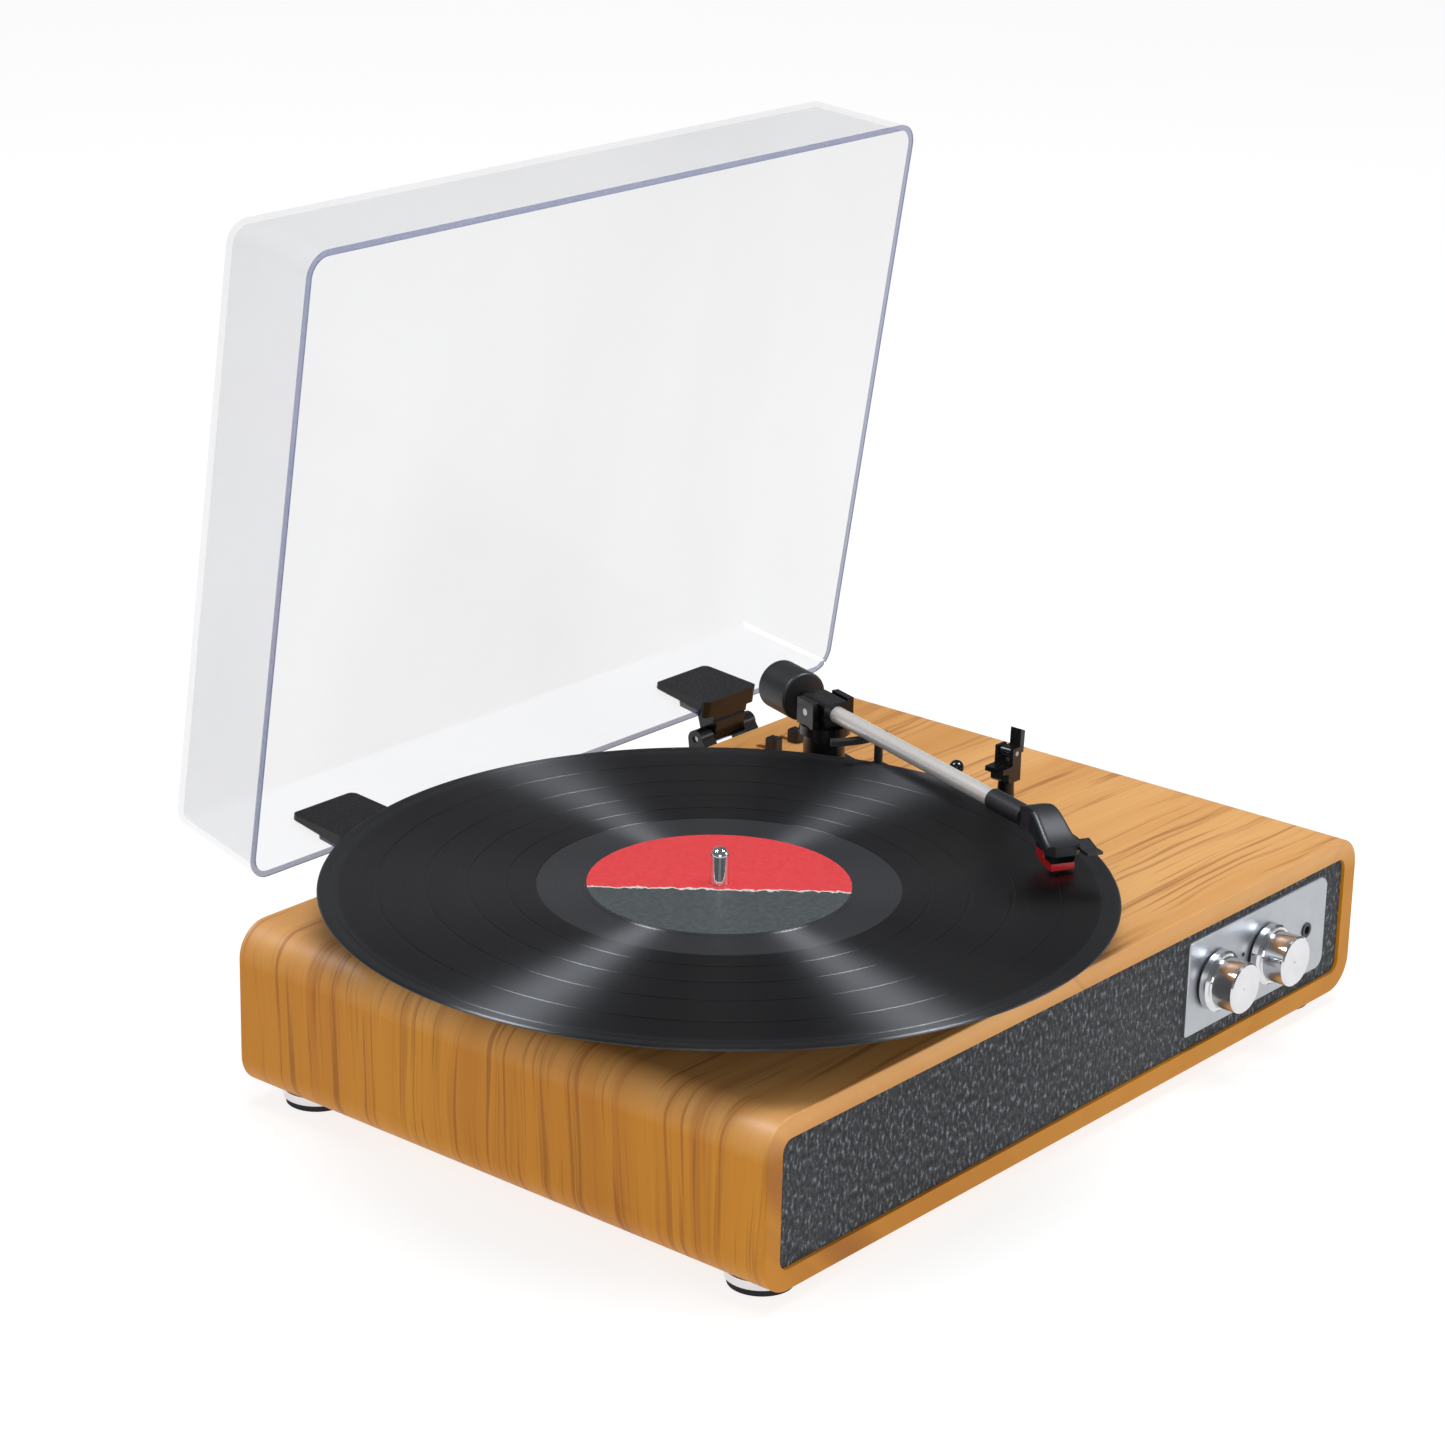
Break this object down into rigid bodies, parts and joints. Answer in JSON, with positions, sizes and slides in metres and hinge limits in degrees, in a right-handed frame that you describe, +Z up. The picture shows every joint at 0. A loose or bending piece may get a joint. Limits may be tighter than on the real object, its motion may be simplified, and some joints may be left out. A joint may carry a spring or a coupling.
{
  "type": "turntable record player",
  "caption": "Belt-drive record player in a wooden cabinet with speakers behind a cloth front, a tonearm playing a record and a hinged clear lid.",
  "frame": {"origin": "at floor level under the middle of the whole object's box, record and open lid included", "axes": "+Z up, +Y towards the hinged back, -Y towards the grille and controls, +X right seen from the front"},
  "size_m": [0.4139, 0.3445, 0.3391],
  "materials": {
    "wood_veneer": "satin oiled wood grain",
    "grille": "woven charcoal cloth",
    "panel_board": "plain dark fibreboard",
    "control_silver": "fine satin",
    "knob_metal": "turned and polished",
    "steel": "bright steel",
    "black_plastic": "fine matt texture",
    "gloss_black": "polished moulding",
    "rubber": "matt",
    "chrome": "polished",
    "platter_metal": "satin black cast",
    "felt": "black felt",
    "vinyl": "fine concentric grooves",
    "label_paper": "two-tone printed paper, no lettering",
    "brass": "plain turned",
    "arm_metal": "satin tube",
    "stylus_red": "translucent red moulding",
    "clear_lid": "clear acrylic",
    "board_green": "printed circuit board",
    "lamp_lens": "dark lens, unlit",
    "motor_metal": "plated can",
    "inner_plastic": "plain moulding",
    "belt_rubber": "flat ground belt",
    "cone_paper": "pressed paper"
  },
  "bodies": {
    "cabinet": {"cabinet": "wood_veneer", "front_baffle": "panel_board", "grille_cloth": "grille", "speaker_frames": "motor_metal", "speaker_cones": "cone_paper", "control_plate": "control_silver", "rotary_controls": "inner_plastic", "headphone_socket": "black_plastic", "indicator_lamp": "lamp_lens", "main_board": "board_green", "board_screws": "steel", "inner_blocks": "panel_board", "rear_panel": "panel_board", "rear_screws": "black_plastic", "rca_sockets": "inner_plastic", "power_inlet": "black_plastic", "foot_shells": "chrome", "foot_pads": "rubber", "foot_screws": "steel", "bearing_housing": "brass", "deck_screws": "steel", "motor": "motor_metal", "motor_bracket": "motor_metal", "motor_grommets": "rubber", "drive_belt": "belt_rubber", "tonearm_base": "gloss_black", "rest_post": "gloss_black", "arm_pins": "steel", "arm_nut": "steel", "switch_bodies": "inner_plastic", "hinge_bases": "gloss_black"},
    "platter": {"platter": "platter_metal", "slip_mat": "felt", "record": "vinyl", "record_labels": "label_paper", "spindle": "chrome"},
    "pulley": {"motor_pulley": "brass", "motor_shaft": "steel"},
    "arm_turret": {"turret": "gloss_black", "pivot_pin": "steel"},
    "tonearm": {"arm_block": "gloss_black", "arm_tube": "arm_metal", "counterweight": "black_plastic", "arm_collar": "black_plastic", "headshell": "black_plastic", "cartridge": "gloss_black", "stylus": "stylus_red"},
    "cue_lifter": {"cue_lifter": "black_plastic"},
    "cue_lever": {"cue_lever": "gloss_black"},
    "rest_latch": {"rest_latch": "gloss_black"},
    "volume_knob": {"volume_knob": "knob_metal", "volume_shaft": "steel"},
    "mode_knob": {"mode_knob": "knob_metal", "mode_shaft": "steel"},
    "speed_switch": {"speed_switch": "black_plastic"},
    "autostop_switch": {"autostop_switch": "black_plastic"},
    "lid": {"lid": "clear_lid", "hinge_clips": "gloss_black", "hinge_pins": "steel"}
  },
  "joints": [
    {"name": "lid_hinge", "type": "hinge", "parent": "cabinet", "child": "lid", "pos_m": [0.0174, 0.1259, 0.0739], "axis": [1, 0, 0], "range_deg": [-3, 17]},
    {"name": "platter_spin", "type": "hinge", "parent": "cabinet", "child": "platter", "pos_m": [-0.056, -0.0216, 0.06], "axis": [0, 0, 1], "continuous": true},
    {"name": "pulley_spin", "type": "hinge", "parent": "cabinet", "child": "pulley", "pos_m": [-0.11398, 0.03638, 0.06], "axis": [0, 0, 1], "continuous": true},
    {"name": "tonearm_swing", "type": "hinge", "parent": "cabinet", "child": "arm_turret", "pos_m": [0.0939, 0.0479, 0.1095], "axis": [0, 0, 1], "range_deg": [-26, 21.9]},
    {"name": "tonearm_lift", "type": "hinge", "parent": "arm_turret", "child": "tonearm", "pos_m": [0.0939, 0.0479, 0.1095], "axis": [-0.9489, 0.3156, 0], "range_deg": [0, 4.6]},
    {"name": "cue_lever_turn", "type": "hinge", "parent": "cabinet", "child": "cue_lever", "pos_m": [0.10309, 0.01217, 0.0828], "axis": [-0.9489, 0.3156, 0], "range_deg": [0, 60]},
    {"name": "cue_lifter_rise", "type": "slide", "parent": "cabinet", "child": "cue_lifter", "axis": [0, 0, 1], "range_m": [0, 0.0022]},
    {"name": "rest_latch_turn", "type": "hinge", "parent": "cabinet", "child": "rest_latch", "pos_m": [0.10579, -0.03694, 0.1087], "axis": [0, 1, 0], "range_deg": [-88, 0]},
    {"name": "volume_turn", "type": "hinge", "parent": "cabinet", "child": "volume_knob", "pos_m": [0.1042, -0.15, 0.0405], "axis": [0, 1, 0], "range_deg": [-150, 150]},
    {"name": "mode_turn", "type": "hinge", "parent": "cabinet", "child": "mode_knob", "pos_m": [0.1407, -0.15, 0.0405], "axis": [0, 1, 0], "range_deg": [-45, 45]},
    {"name": "speed_slide", "type": "slide", "parent": "cabinet", "child": "speed_switch", "axis": [0, 1, 0], "range_m": [0, 0.006]},
    {"name": "autostop_slide", "type": "slide", "parent": "cabinet", "child": "autostop_switch", "axis": [0, 1, 0], "range_m": [0, 0.006]}
  ],
  "couplings": [
    {"joint": "pulley_spin", "follows": "platter_spin", "ratio": 12.6},
    {"joint": "cue_lifter_rise", "follows": "cue_lever_turn", "m_per_rad": 0.0021},
    {"joint": "tonearm_lift", "follows": "cue_lever_turn", "ratio": 0.0765}
  ]
}
